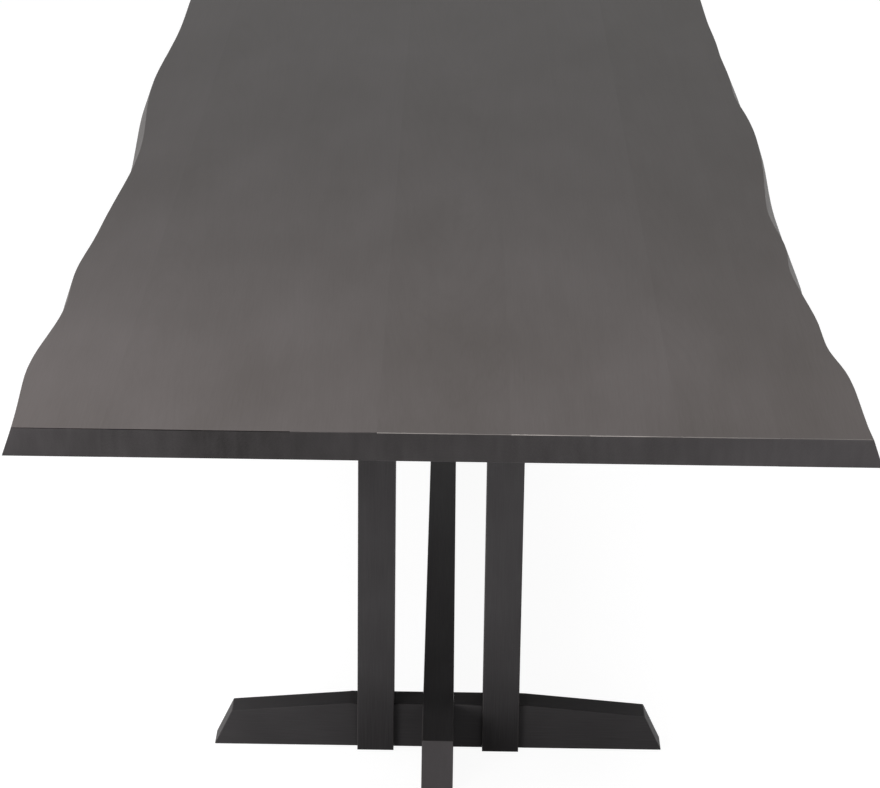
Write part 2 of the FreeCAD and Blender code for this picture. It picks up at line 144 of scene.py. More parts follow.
# Painted light and shade: how much lighter the colour is made in equal steps along a piece, from its lower,
# near or left end to the other, where the light falls unevenly: the posts darker towards the floor, the
# right-hand boards of the top darker towards the far end, and the near foot darker towards the right.
PAINTED_LIGHT = {
    "top_board_6": (0.04, -0.04),
    "top_board_7": (0.08, -0.08),
    "top_board_8": (0.10, -0.10),
    "live_edge_board_right": (0.10, -0.10),
    "post_near_left": (-0.40, -0.21, 0.00, 0.04, 0.09, 0.03, -0.05, -0.10, -0.10, -0.10, -0.10),
    "post_near_right": (-0.70, -0.52, -0.16, -0.03, 0.12, 0.08, 0.08, 0.05, 0.05, 0.05, 0.05),
    "post_far_left": (-0.12, 0.12),
    "post_far_right": (-0.10, 0.10),
    "foot_near": (0.07, -0.07),
}

# Patterns in the wood: their size across, along and through the board in millimetres, and their detail. The
# width of the fibres is a setting.
FIGURE = {"bends": (120, 700, 120, 2.0), "blotch": (150, 420, 150, 2.0), "cloud": (15, 170, 60, 3.0)}
FIBRE_LENGTH = 55
FIBRE_DETAIL = 4.0

# How light the stain is before the patterns, and how much lighter each of them makes it.
STAIN = {"start": 0.075, "blotch": 0.6, "cloud": 0.15, "cloud_in_ends": 0.3, "fibre": 0.45,
         "late_wood": -0.03, "ends": -0.12}

# How far apart the rings of a wave pattern lie at a scale of 1, how far they wander, in metres, how narrow
# the late wood is in them, how much it stands up against the fibres, and how much rougher a fibre is.
RING_SPACING = math.pi / 10
RING_BEND = 0.04
LATE_WOOD = 5.0
LATE_RELIEF = 0.1
FIBRE_SHEEN = 0.12

# Where the ripples of the first natural edge start in their pattern.
RIPPLE_SEED = 3.0

# The softboxes: the setting that holds their power, and their size, place and aim in metres.
LAMPS = {
    "Near left softbox": ("near_left", (0.5, 0.5), (-0.95, -1.6, 1.8), (-0.6, -1.2, 0.76)),
    "Near right softbox": ("near_right", (0.6, 0.6), (0.75, -1.6, 2.0), (0.5, -1.2, 0.76)),
    "Key softbox": ("key", (1.8, 1.2), (-2.6, -4.6, 0.85), (0.0, -0.8, 0.4)),
    "Fill softbox": ("fill", (1.8, 1.2), (1.3, -5.6, 0.9), (0.0, -0.8, 0.4)),
    "Side softbox": ("side", (1.5, 1.0), (-3.0, -1.0, 0.7), (0.0, -0.8, 0.3)),
    "Back softbox": ("back", (2.4, 0.36), (2.6, 3.6, 0.22), (0.0, 0.2, 0.3)),
}

# The camera's place in metres, its pitch, yaw and roll in degrees, and its lens and sensor in millimetres.
CAMERA_PLACE = (0.0137, -4.8585, 2.1055)
CAMERA_TURNS = (20.274, -0.239, -0.725)
LENS = 120.86
SENSOR = 36.0

# The floor's reach from the table in metres, and the colour of the room.
FLOOR_REACH = 20.0
WHITE = (1.0, 1.0, 1.0, 1.0)


def linear(code):
    """An sRGB hex colour as linear red, green, blue and alpha."""
    shares = [int(code[start:start + 2], 16) / 255 for start in (1, 3, 5)]
    return tuple(s / 12.92 if s <= 0.04045 else ((s + 0.055) / 1.055) ** 2.4 for s in shares) + (1.0,)


def colour(name, description, code):
    """A colour property given as sRGB hex."""
    return FloatVectorProperty(name=name, description=description, subtype="COLOR", size=4, min=0.0, max=1.0,
                               default=linear(code))


def length(name, description, millimetres):
    """A length property given in millimetres."""
    return FloatProperty(name=name, description=description, unit="LENGTH", min=0.0, precision=4,
                         default=millimetres * MM)


def factor(name, description, value):
    """A property between none and all."""
    return FloatProperty(name=name, description=description, subtype="FACTOR", min=0.0, max=1.0,
                         default=value)


def power(name, description, watts):
    """A lamp's power property given in watts."""
    return FloatProperty(name=name, description=description, unit="POWER", min=0.0, default=watts)


class WoodFinish(bpy.types.PropertyGroup):
    """The stained maple of the top, the base and the dowels."""
    top_dark: colour("Top, dark", "Where the top drank most stain", "#342f2c")
    top_light: colour("Top, light", "Where the top drank least stain", "#524d4d")
    base_dark: colour("Base, dark", "Where the base drank most stain", "#2b292a")
    base_light: colour("Base, light", "Where the base drank least stain", "#504e4f")
    dowel_dark: colour("Dowels, dark", "Where the dowels drank most stain", "#2b2422")
    dowel_light: colour("Dowels, light", "Where the dowels drank least stain", "#4d423c")
    end_dark: colour("End grain, dark", "Where end grain drank most stain", "#252323")
    end_light: colour("End grain, light", "Where end grain drank least stain", "#4c494a")
    # The worn colour is partly wear and partly a painted highlight along the arrises that catch the light.
    worn: colour("Worn arris", "Where the sanding went through the stain", "#8a8582")
    ring_width: length("Ring width", "A year's growth of the maple", 4.5)
    fibre_width: length("Fibre width", "Bundles of fibres, drawn coarser than they are to show", 1.0)
    fibre_gloss: factor("Fibre roughness", "The wood itself, from mirror to chalk", 0.60)
    satin: factor("Lacquer roughness", "The satin lacquer, from mirror to chalk", 0.22)
    top_coat: factor("Lacquer, top", "How full the lacquer lies on the top", 0.18)
    base_coat: factor("Lacquer, base", "How full the lacquer lies on the base", 0.06)
    relief: length("Relief", "How far the fibres stand up", 0.06)
    relief_share: factor("Relief share", "How far the lacquer lets the relief show", 0.35)


class EdgeWork(bpy.types.PropertyGroup):
    """How the edges of the pieces are worked."""
    arris: length("Top arris", "Rounding along the edges of the top", 0.6)
    board_end: length("Board ends", "Rounding of the corners left by each board's end chamfer", 0.2)
    base_arris: length("Base arris", "Rounding along the edges of the base", 1.2)
    ripple: length("Ripple", "Depth of the hollows that the drawknife left on the natural edges", 0.5)
    ripple_length: length("Ripple length", "Distance between those hollows", 55.0)
    knuckle: factor("Knuckles", "How the natural edges turn, from flowing to angular", 0.6)
    stations: IntProperty(name="Stations", description="Cross-sections along an edge", min=20, default=420)


class Hardware(bpy.types.PropertyGroup):
    """The sizes of bolts, inserts, dowels and levelling feet that their boxes do not give."""
    pitch: length("Thread pitch", "Rise of a machine thread in one turn", 1.25)
    thread_depth: length("Thread depth", "Depth of the machine threads", 0.65)
    wood_pitch: length("Wood thread pitch", "Rise of the inserts' outer thread in one turn", 2.5)
    wood_depth: length("Wood thread depth", "Depth of the inserts' outer thread", 0.9)
    thread_radius: length("Thread radius", "Half the thickness of bolts and stems", 4.0)
    tip: length("Tip", "Chamfer at the tips of bolts and stems", 0.8)
    hexagon: length("Hexagon", "Radius to the corners of the spanner hexagons", 7.5)
    bolt_head: length("Bolt head", "Height of a bolt's head", 5.3)
    bore_gap: length("Bore gap", "Room around the bolts in washers and inserts", 0.2)
    stem_gap: length("Stem gap", "Room around the stems in their inserts", 0.3)
    metal_ease: length("Metal edges", "Rounding of washers, flanges and sleeves", 0.4)
    sleeve: length("Sleeve", "Radius of the levelling feet's inserts", 6.0)
    flange: length("Flange", "Thickness of those inserts' flanges", 1.5)
    dowel_ease: length("Dowel ends", "Chamfer at the ends of the dowels", 0.8)
    flute: length("Flutes", "Depth of the glue flutes along the dowels", 0.3)
    pad_thick: length("Pad", "Thickness of the pads' rims", 4.0)
    pad_ease: length("Pad edges", "Rounding of the pads", 0.8)
    pad_ring: length("Pad rings", "Height of the moulded rings under the pads", 0.4)
    socket: length("Socket", "Outer radius of the pads' sockets", 8.5)
    ball: length("Ball", "Radius of the stems' ball ends", 5.0)
    ball_gap: length("Ball gap", "Room around the balls", 0.3)
    ball_height: length("Ball height", "Middle of a ball above its pad's underside", 6.2)
    neck: length("Neck", "Radius of the stems above their balls", 3.0)
    grip_start: length("Grip start", "Underside of the stems' hexagons above the floor", 10.5)
    grip_height: length("Grip height", "Height of the stems' hexagons", 4.0)


class Studio(bpy.types.PropertyGroup):
    """Light and ground of the studio."""
    ambient: factor("Ambient", "Light from the white room", 0.28)
    near_left: power("Near left", "Softbox over the near left corner", 21.2)
    near_right: power("Near right", "Softbox over the near right corner", 16.5)
    key: power("Key", "Softbox low at the front left", 66.0)
    fill: power("Fill", "Softbox low at the front right", 17.0)
    side: power("Side", "Softbox low on the left", 31.0)
    back: power("Back", "Softbox on the floor at the far right", 34.0)
    floor: colour("Floor", "Pale floor, as it lights the table", "#cecece")
    floor_shade: colour("Floor shade", "How deep the table's shadow shows on the white floor", "#8a8a8a")
    floor_glow: factor("Floor glow", "How white the floor shows in that shadow", 0.93)


# Nodes and trees

def add(tree, kind, inputs=None, **settings):
    """Adds a node with its settings; each input takes a value or another node's output."""
    node = tree.nodes.new(kind)
    for name, value in settings.items():
        setattr(node, name, value)
    for name, value in (inputs or {}).items():
        if isinstance(value, bpy.types.NodeSocket):
            tree.links.new(value, node.inputs[name])
        else:
            node.inputs[name].default_value = value
    return node


def new_material(name, constants):
    """A material whose principled shader takes the constants given."""
    material = bpy.data.materials.new(name)
    material.use_nodes = True
    shader = material.node_tree.nodes["Principled BSDF"]
    for label, value in constants.items():
        shader.inputs[label].default_value = value
    return material, material.node_tree, shader


def new_tree(name, sockets):
    """A geometry tree with named inputs, its input node and its output node."""
    tree = bpy.data.node_groups.new(name, "GeometryNodeTree")
    tree.interface.new_socket("Geometry", in_out="OUTPUT", socket_type="NodeSocketGeometry")
    for label, kind in sockets.items():
        tree.interface.new_socket(label, in_out="INPUT", socket_type=f"NodeSocket{kind}")
    return tree, tree.nodes.new("NodeGroupInput").outputs, tree.nodes.new("NodeGroupOutput")


def close_tree(tree, end, geometry, material):
    """Ends a geometry tree in real mesh with its material."""
    real = add(tree, "GeometryNodeRealizeInstances", {"Geometry": geometry}).outputs[0]
    dressed = add(tree, "GeometryNodeSetMaterial", {"Geometry": real, "Material": material}).outputs[0]
    tree.links.new(dressed, end.inputs[0])


def grown(name, tree, values, mesh=None):
    """The plain mesh that a geometry tree makes, from a mesh or from nothing."""
    seed = bpy.data.objects.new(name, mesh or bpy.data.meshes.new(name))
    bpy.context.scene.collection.objects.link(seed)
    modifier = seed.modifiers.new(name, "NODES")
    modifier.node_group = tree
    for item in tree.interface.items_tree:
        if item.in_out == "INPUT" and item.name in values:
            modifier[item.identifier] = values[item.name]
    graph = bpy.context.evaluated_depsgraph_get()
    result = bpy.data.meshes.new_from_object(seed.evaluated_get(graph), depsgraph=graph)
    bpy.data.objects.remove(seed)
    return result


# Pieces

def show(name, mesh, material, nodes, body):
    """Puts a finished piece into the scene in place of its solids."""
    mesh.materials.clear()
    mesh.materials.append(material)
    piece = bpy.data.objects.new(name, mesh)
    bpy.context.scene.collection.objects.link(piece)
    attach(piece, body)
    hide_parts(*nodes)


def solid_mesh(node):
    """A merged copy of a node's triangles, with its flat faces whole again."""
    source = NODES[node].data
    loose = bpy.data.meshes.new(f"{node}_loose")
    loose.from_pydata([v.co for v in source.vertices], [], [tuple(p.vertices) for p in source.polygons])
    mesh = bmesh.new()
    mesh.from_mesh(loose)
    bpy.data.meshes.remove(loose)
    bmesh.ops.remove_doubles(mesh, verts=mesh.verts, dist=WELD)
    bmesh.ops.dissolve_limit(mesh, angle_limit=FLAT, verts=mesh.verts, edges=mesh.edges)
    return mesh


def finished(mesh, name):
    """The plain mesh of a shape in the making."""
    result = bpy.data.meshes.new(name)
    mesh.to_mesh(result)
    mesh.free()
    return result


def closed(mesh, name):
    """The plain mesh of a closed shape, facing outwards and sharp where it turns."""
    bmesh.ops.recalc_face_normals(mesh, faces=mesh.faces)
    for edge in mesh.edges:
        edge.smooth = edge.calc_face_angle() < SOFT_TURN
    return finished(mesh, name)


def solids(node):
    """The middle and the half size of each separate solid of a node."""
    mesh = bmesh.new()
    mesh.from_mesh(NODES[node].data)
    bmesh.ops.remove_doubles(mesh, verts=mesh.verts, dist=WELD)
    waiting = set(mesh.verts)
    found = []
    while waiting:
        edge_of_search = [waiting.pop()]
        island = []
        while edge_of_search:
            vert = edge_of_search.pop()
            island.append(vert.co.copy())
            fresh = {edge.other_vert(vert) for edge in vert.link_edges} & waiting
            waiting -= fresh
            edge_of_search += fresh
        low, high = (Vector(pick(place[n] for place in island) for n in range(3)) for pick in (min, max))
        found.append(((low + high) / 2, (high - low) / 2))
    mesh.free()
    return sorted(found, key=lambda solid: tuple(solid[0]))


def eased(node, radius):
    """A copy of a solid with its long free edges rounded; edges that meet another piece stay sharp.

    A post comes in strips, so that the light and shade painted into its colour can follow the steps along
    it.
    """
    low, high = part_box(node)
    reach = Vector((CLOSE,) * 3)
    neighbours = []
    for other in WOOD_NODES:
        other_low, other_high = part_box(other)
        apart = any(other_low[n] > (high + reach)[n] or other_high[n] < (low - reach)[n] for n in range(3))
        if other != node and not apart:
            data = NODES[other].data
            neighbours.append(BVHTree.FromPolygons([v.co for v in data.vertices],
                                                   [tuple(p.vertices) for p in data.polygons]))

    def free(edge):
        start, stop = (v.co for v in edge.verts)
        spots = [start.lerp(stop, share) for share in (0.25, 0.5, 0.75)]
        touching = sum(any(tree.find_nearest(spot, TOUCH)[0] for tree in neighbours) for spot in spots)
        return touching < 2

    mesh = solid_mesh(node)
    edges = [e for e in mesh.edges if len(e.link_faces) == 2 and e.is_convex and e.calc_length() > SHORT_EDGE
             and e.calc_face_angle() > SHARP and free(e)]
    worn = mesh.faces.layers.float.new("worn")
    rounded = bmesh.ops.bevel(mesh, geom=edges, offset=radius, offset_type="OFFSET", segments=3, profile=0.5,
                              affect="EDGES", clamp_overlap=True)
    for face in mesh.faces:
        turns = [e.calc_face_angle() for e in face.edges if len(e.link_faces) == 2]
        bent = any(2 * FLAT < turn < SOFT_TURN for turn in turns)
        face.smooth = bent and face.calc_area() < SMALL_FACE
        # Narrow upward faces are the arrises: marked for wear and a painted highlight.
        narrow = face.calc_area() / max(e.calc_length() for e in face.edges) < NARROW
        face[worn] = float(narrow and face.normal.z > RUBBED_AND_LIT_FACING)
    for face in rounded["faces"]:
        face.smooth = True
    if node in POSTS:
        for share in np.linspace(0, 1, len(PAINTED_LIGHT[node]))[1:-1]:
            everything = [*mesh.verts, *mesh.edges, *mesh.faces]
            bmesh.ops.bisect_plane(mesh, geom=everything, plane_co=low.lerp(high, share), plane_no=(0, 0, 1))
        mesh.faces.sort(key=lambda face: face.calc_center_median().dot(SLANT))
    return finished(mesh, node)


def lay_grain(mesh, node, along):
    """Stores each point's place in its tree, its stain with painted light and shade, which faces show end
    grain, and the arrises' wear with a painted highlight.
    """
    beside, below, lean, tone, end_tone, wear_and_glint_share = SAWN[node]
    places = np.empty(len(mesh.vertices) * 3, np.float32)
    mesh.vertices.foreach_get("co", places)
    places = places.reshape(-1, 3)
    order = {"X": (1, 0, 2), "Y": (0, 1, 2), "Z": (0, 2, 1)}[along]
    middle = (places.min(0) + places.max(0)) / 2
    grain = (places - middle)[:, order] + np.array((beside, 0.0, below), np.float32)
    grain[:, 2] += lean * grain[:, 1]
    # Painted light and shade in steps along the piece.
    steps = PAINTED_LIGHT.get(node, (0.0, 0.0))
    painted_light = np.interp(grain[:, 1] / np.ptp(grain[:, 1]) + 0.5, np.linspace(0, 1, len(steps)), steps)
    grain[:, 1] += GRAIN_STEP * list(SAWN).index(node)
    mesh.attributes.new("grain", "FLOAT_VECTOR", "POINT").data.foreach_set("vector", grain.ravel())
    axis = "XYZ".index(along)
    ends = np.array([abs(face.normal[axis]) > END_FACING for face in mesh.polygons], np.float32)
    rubbed_and_lit = np.zeros(len(ends), np.float32)
    if "worn" in mesh.attributes:
        mesh.attributes["worn"].data.foreach_get("value", rubbed_and_lit)
        mesh.attributes.remove(mesh.attributes["worn"])
    corners = np.empty(len(mesh.loops), np.int32)
    mesh.loops.foreach_get("vertex_index", corners)
    at_end = np.repeat(ends, [face.loop_total for face in mesh.polygons])
    side_tones = tone + painted_light[corners]
    end_tones = end_tone + painted_light[corners]
    if node in TOP_BOARDS:
        end_tones = np.interp(places[corners, 0], TOP_MIDDLES, END_TONES)
    tones = side_tones + (end_tones - side_tones) * at_end
    stored = (("end_grain", "FACE", ends), ("tone", "CORNER", tones), ("worn", "FACE", wear_and_glint_share * rubbed_and_lit))
    for name, domain, values in stored:
        mesh.attributes.new(name, "FLOAT", domain).data.foreach_set("value", values.astype(np.float32))


def edge_line(places, values, wanted, knuckle):
    """A line through points, read at the places wanted: flowing, or up to straight runs with knuckles."""
    slopes = np.gradient(values, places)
    index = np.clip(np.searchsorted(places, wanted) - 1, 0, len(places) - 2)
    gap = places[index + 1] - places[index]
    share = (wanted - places[index]) / gap
    start, stop = values[index], values[index + 1]
    lift, drop = slopes[index] * gap, slopes[index + 1] * gap
    straight = start + (stop - start) * share
    flowing = (start * (2 * share ** 3 - 3 * share ** 2 + 1) + lift * (share ** 3 - 2 * share ** 2 + share)
               + stop * (3 * share ** 2 - 2 * share ** 3) + drop * (share ** 3 - share ** 2))
    return flowing + (straight - flowing) * knuckle


# Turned pieces

def thread_rows(radius, start, stop, pitch, kind):
    """Rows along a thread, six to each turn of it."""
    count = max(2, round(6 * abs(stop - start) / pitch))
    return [(radius, float(height), kind) for height in np.linspace(start, stop, count)]


def turned(name, rows, around=24, along="Z"):
    """A closed shape turned about an axis, from rows of radius, height and kind.

    A kind names a hexagon with or without chamfered corners, flutes, or a thread, which is marked here and
    cut later. A shape whose first and last rows are the same ring has a bore.
    """
    sizes = bpy.context.scene.table_hardware
    mesh = bmesh.new()
    marks = {mark: mesh.verts.layers.float.new(mark) for mark in ("thread", "wood_thread")}
    rings = []
    for radius, height, kind in rows:
        ring = []
        for n in range(around if radius else 1):
            turn = math.tau * n / around
            reach, rise = radius, 0.0
            if kind.startswith("hexagon"):
                reach *= HEXAGON_FLAT / math.cos(turn % (math.pi / 3) - math.pi / 6)
                corner = (reach - CROWN * radius) * math.tan(math.pi / 6)
                rise = {"hexagon_low": corner, "hexagon_high": -corner}.get(kind, 0.0)
            elif kind == "flute":
                reach -= sizes.flute * (n % 2)
            x, y, z = reach * math.cos(turn), reach * math.sin(turn), height + rise
            vert = mesh.verts.new((x, y, z) if along == "Z" else (x, z, -y))
            if kind in marks:
                vert[marks[kind]] = 1.0
            elif kind == "bore_thread":
                vert[marks["thread"]] = -1.0
            ring.append(vert)
        rings.append(ring)
    if rows[0] == rows[-1]:
        for vert in rings.pop():
            mesh.verts.remove(vert)
        rings.append(rings[0])
    for under, over in zip(rings, rings[1:]):
        for n in range(around):
            around_face = ((under, n), (under, n + 1), (over, n + 1), (over, n))
            corners = [ring[place % len(ring)] for ring, place in around_face]
            mesh.faces.new(list(dict.fromkeys(corners))).smooth = True
    return closed(mesh, name)


def thread_tree():
    """The tree that cuts a helical thread into the marked rows of a turned shape.

    The groove runs from nothing at a crest to a half at the root, so the depth is doubled.
    """
    tree, given, end = new_tree("Screw thread", {"Geometry": "Geometry", "Mark": "String", "Pitch": "Float",
                                                 "Depth": "Float", "Material": "Material"})
    place = add(tree, "GeometryNodeInputPosition").outputs[0]
    mark = add(tree, "GeometryNodeInputNamedAttribute", {"Name": given["Mark"]},
               data_type="FLOAT").outputs[0]
    axes = add(tree, "ShaderNodeSeparateXYZ", {0: place}).outputs
    angle = add(tree, "ShaderNodeMath", {0: axes["Y"], 1: axes["X"]}, operation="ARCTAN2").outputs[0]
    turn = add(tree, "ShaderNodeMath", {0: angle, 1: math.tau}, operation="DIVIDE").outputs[0]
    climb = add(tree, "ShaderNodeMath", {0: axes["Z"], 1: given["Pitch"]}, operation="DIVIDE").outputs[0]
    phase = add(tree, "ShaderNodeMath", {0: climb, 1: turn}, operation="SUBTRACT").outputs[0]
    groove = add(tree, "ShaderNodeMath", {0: phase, 1: 0.5}, operation="PINGPONG").outputs[0]
    depth = add(tree, "ShaderNodeMath", {0: given["Depth"], 1: -2.0}, operation="MULTIPLY").outputs[0]
    marked = add(tree, "ShaderNodeMath", {0: mark, 1: depth}, operation="MULTIPLY").outputs[0]
    cut = add(tree, "ShaderNodeMath", {0: groove, 1: marked}, operation="MULTIPLY").outputs[0]
    level = add(tree, "ShaderNodeVectorMath", {0: place, 1: (1.0, 1.0, 0.0)},
                operation="MULTIPLY").outputs[0]
    outward = add(tree, "ShaderNodeVectorMath", {0: level}, operation="NORMALIZE").outputs[0]
    move = add(tree, "ShaderNodeVectorMath", {0: outward, "Scale": cut}, operation="SCALE").outputs[0]
    shaped = add(tree, "GeometryNodeSetPosition", {"Geometry": given["Geometry"], "Offset": move}).outputs[0]
    close_tree(tree, end, shaped, given["Material"])
    return tree


def set_tree():
    """The tree that repeats one shape at each point of a set."""
    tree, given, end = new_tree("Set of like pieces", {"Geometry": "Geometry", "Shape": "Object",
                                                       "Material": "Material"})
    shape = add(tree, "GeometryNodeObjectInfo", {"Object": given["Shape"]}).outputs["Geometry"]
    copies = add(tree, "GeometryNodeInstanceOnPoints", {"Points": given["Geometry"], "Instance": shape})
    close_tree(tree, end, copies.outputs[0], given["Material"])
    return tree


def turned_set(node, rows, material, along="Z"):
    """One mesh with a turned shape in the place of each solid of a node, threads cut."""
    sizes = bpy.context.scene.table_hardware
    shape = turned(f"{node}_shape", rows, along=along)
    cutter = bpy.data.node_groups.get("Screw thread") or thread_tree()
    for mark, pitch, depth in (("thread", sizes.pitch, sizes.thread_depth),
                               ("wood_thread", sizes.wood_pitch, sizes.wood_depth)):
        if any(mark in kind for radius, height, kind in rows):
            values = {"Mark": mark, "Pitch": pitch, "Depth": depth, "Material": material}
            shape = grown(f"{node}_shape", cutter, values, shape)
    carrier = bpy.data.objects.new(f"{node}_shape", shape)
    places = bpy.data.meshes.new(node)
    places.from_pydata([middle for middle, half in solids(node)], [], [])
    repeater = bpy.data.node_groups.get("Set of like pieces") or set_tree()
    result = grown(node, repeater, {"Shape": carrier, "Material": material}, places)
    bpy.data.objects.remove(carrier)
    return result


# Materials

def stained_maple(name, finish, dark, light, coat):
    """Maple under a dark grey stain and satin lacquer.

    The close grain stays faint: slow blotches where the stain took unevenly, hardly darker growth rings,
    fine fibres along the board, end grain that drank the stain in upright streaks and turned cooler, and
    arrises lightened partly by wear and partly by a painted highlight, or darkened by a painted dark
    reflection.
    The tone brings light and shade painted along and between the pieces.
    """
    material, tree, shader = new_material(name, {"IOR": 1.5, "Specular IOR Level": 0.05, "Coat Weight": coat,
                                                 "Coat Roughness": finish.satin, "Coat IOR": 1.5})
    grain = add(tree, "ShaderNodeAttribute", attribute_name="grain").outputs["Vector"]
    # The tone holds each piece's stain with painted light and shade along and between the pieces.
    tone = add(tree, "ShaderNodeAttribute", attribute_name="tone").outputs["Fac"]
    ends = add(tree, "ShaderNodeAttribute", attribute_name="end_grain").outputs["Fac"]
    wiped = add(tree, "ShaderNodeTexCoord").outputs["Object"]
    fibre_size = finish.fibre_width / MM
    patterns = {**FIGURE, "fibre": (fibre_size, FIBRE_LENGTH, fibre_size, FIBRE_DETAIL)}
    figure = {}
    for label, (*size, detail) in patterns.items():
        source = wiped if label == "blotch" else grain
        rate = [1 / (side * MM) for side in size]
        place = add(tree, "ShaderNodeVectorMath", {0: source, 1: rate}, operation="MULTIPLY").outputs[0]
        noise = add(tree, "ShaderNodeTexNoise", {"Vector": place, "Scale": 1.0, "Detail": detail})
        figure[label] = noise.outputs
    wander = {0: figure["bends"]["Color"], 1: (RING_BEND, 0.0, RING_BEND), 2: grain}
    bent = add(tree, "ShaderNodeVectorMath", wander, operation="MULTIPLY_ADD").outputs[0]
    rings = add(tree, "ShaderNodeTexWave", {"Vector": bent, "Scale": RING_SPACING / finish.ring_width},
                wave_type="RINGS", rings_direction="Y").outputs["Fac"]
    late = add(tree, "ShaderNodeMath", {0: rings, 1: LATE_WOOD}, operation="POWER").outputs[0]
    thirst = add(tree, "ShaderNodeMath", {0: ends, 1: STAIN["cloud_in_ends"], 2: STAIN["cloud"]},
                 operation="MULTIPLY_ADD").outputs[0]
    fibre = add(tree, "ShaderNodeMath", {0: figure["fibre"]["Fac"], 1: 0.5}, operation="SUBTRACT").outputs[0]
    blotch = figure["blotch"]["Fac"]
    stain = add(tree, "ShaderNodeMath", {0: tone, 1: STAIN["start"]}, operation="ADD").outputs[0]
    shares = ((blotch, STAIN["blotch"]), (figure["cloud"]["Fac"], thirst), (fibre, STAIN["fibre"]),
              (late, STAIN["late_wood"]), (ends, STAIN["ends"]))
    for pattern, share in shares:
        stain = add(tree, "ShaderNodeMath", {0: pattern, 1: share, 2: stain},
                    operation="MULTIPLY_ADD").outputs[0]
    sides = add(tree, "ShaderNodeMix", {0: stain, 6: dark, 7: light}, data_type="RGBA").outputs[2]
    cut_ends = add(tree, "ShaderNodeMix", {0: stain, 6: finish.end_dark, 7: finish.end_light},
                   data_type="RGBA", clamp_factor=False).outputs[2]
    whole = add(tree, "ShaderNodeMix", {0: ends, 6: sides, 7: cut_ends}, data_type="RGBA").outputs[2]
    # Arrises: lightened partly as wear and partly as a painted highlight, darkened below zero as a painted
    # dark reflection.
    worn = add(tree, "ShaderNodeAttribute", attribute_name="worn").outputs["Fac"]
    rubbed_and_lit = add(tree, "ShaderNodeMath", {0: worn, 1: blotch}, operation="MULTIPLY").outputs[0]
    tint = add(tree, "ShaderNodeMix", {0: rubbed_and_lit, 6: whole, 7: finish.worn}, data_type="RGBA",
               clamp_factor=False).outputs[2]
    sheen = add(tree, "ShaderNodeMath", {0: fibre, 1: FIBRE_SHEEN, 2: finish.fibre_gloss},
                operation="MULTIPLY_ADD").outputs[0]
    relief = add(tree, "ShaderNodeMath", {0: late, 1: LATE_RELIEF, 2: fibre},
                 operation="MULTIPLY_ADD").outputs[0]
    bump = add(tree, "ShaderNodeBump", {"Height": relief, "Distance": finish.relief,
                                        "Strength": finish.relief_share}).outputs[0]
    tree.links.new(tint, shader.inputs["Base Color"])
    tree.links.new(sheen, shader.inputs["Roughness"])
    tree.links.new(bump, shader.inputs["Normal"])
    return material


def wood(kind, finish):
    """The stained maple of the top, the base or the dowels, made once."""
    name = f"Stained maple, {kind}"
    dark, light = getattr(finish, f"{kind}_dark"), getattr(finish, f"{kind}_light")
    coat = finish.top_coat if kind == "top" else finish.base_coat
    return bpy.data.materials.get(name) or stained_maple(name, finish, dark, light, coat)


def dress_wood(node, mesh, along, kind):
    """Shows a wooden piece with its grain."""
    lay_grain(mesh, node, along)
    show(f"{node}_shaped", mesh, wood(kind, bpy.context.scene.table_wood), [node], "table")


def specked(name, constants, dark, light, grit, roughness, relief):
    """A hard surface with a fine mottle of colour, gloss and relief, its grit and relief in millimetres."""
    material, tree, shader = new_material(name, constants)
    place = add(tree, "ShaderNodeTexCoord").outputs["Object"]
    noise = add(tree, "ShaderNodeTexNoise", {"Vector": place, "Scale": 1 / (grit * MM), "Detail": 3.0})
    mottle = noise.outputs["Fac"]
    tint = add(tree, "ShaderNodeMix", {0: mottle, 6: linear(dark), 7: linear(light)},
               data_type="RGBA").outputs[2]
    low, high = roughness
    gloss = add(tree, "ShaderNodeMapRange", {"Value": mottle, "To Min": low, "To Max": high}).outputs[0]
    bump = add(tree, "ShaderNodeBump", {"Height": mottle, "Distance": relief * MM,
                                        "Strength": 0.5}).outputs[0]
    tree.links.new(tint, shader.inputs["Base Color"])
    tree.links.new(gloss, shader.inputs["Roughness"])
    tree.links.new(bump, shader.inputs["Normal"])
    return material


def black_steel():
    """Steel, rolled and black-oxided: a dull blue-black skin, a little patchy from the bath."""
    return specked("Black-oxide steel", {"Metallic": 1.0}, "#2b2d30", "#46484b", grit=2.5,
                   roughness=(0.36, 0.55), relief=0.04)


def plated_steel():
    """Steel, rolled and zinc plated: pale grey with a soft, slightly cloudy shine."""
    return specked("Zinc-plated steel", {"Metallic": 1.0}, "#a5a9ae", "#cfd1d0", grit=3.0,
                   roughness=(0.26, 0.42), relief=0.02)


def turned_brass():
    """Brass, turned on a lathe: warm yellow, with tool marks drawn coarser than they are to show."""
    return specked("Turned brass", {"Metallic": 1.0}, "#a37f3f", "#c9a560", grit=0.6,
                   roughness=(0.24, 0.40), relief=0.03)


def moulded_plastic():
    """Nylon, injection moulded in black: even and soft-glossed, with the spark-eroded grain of its mould."""
    return specked("Moulded black nylon", {"IOR": 1.53}, "#17181a", "#26272a", grit=0.5,
                   roughness=(0.42, 0.60), relief=0.05)


# Operators

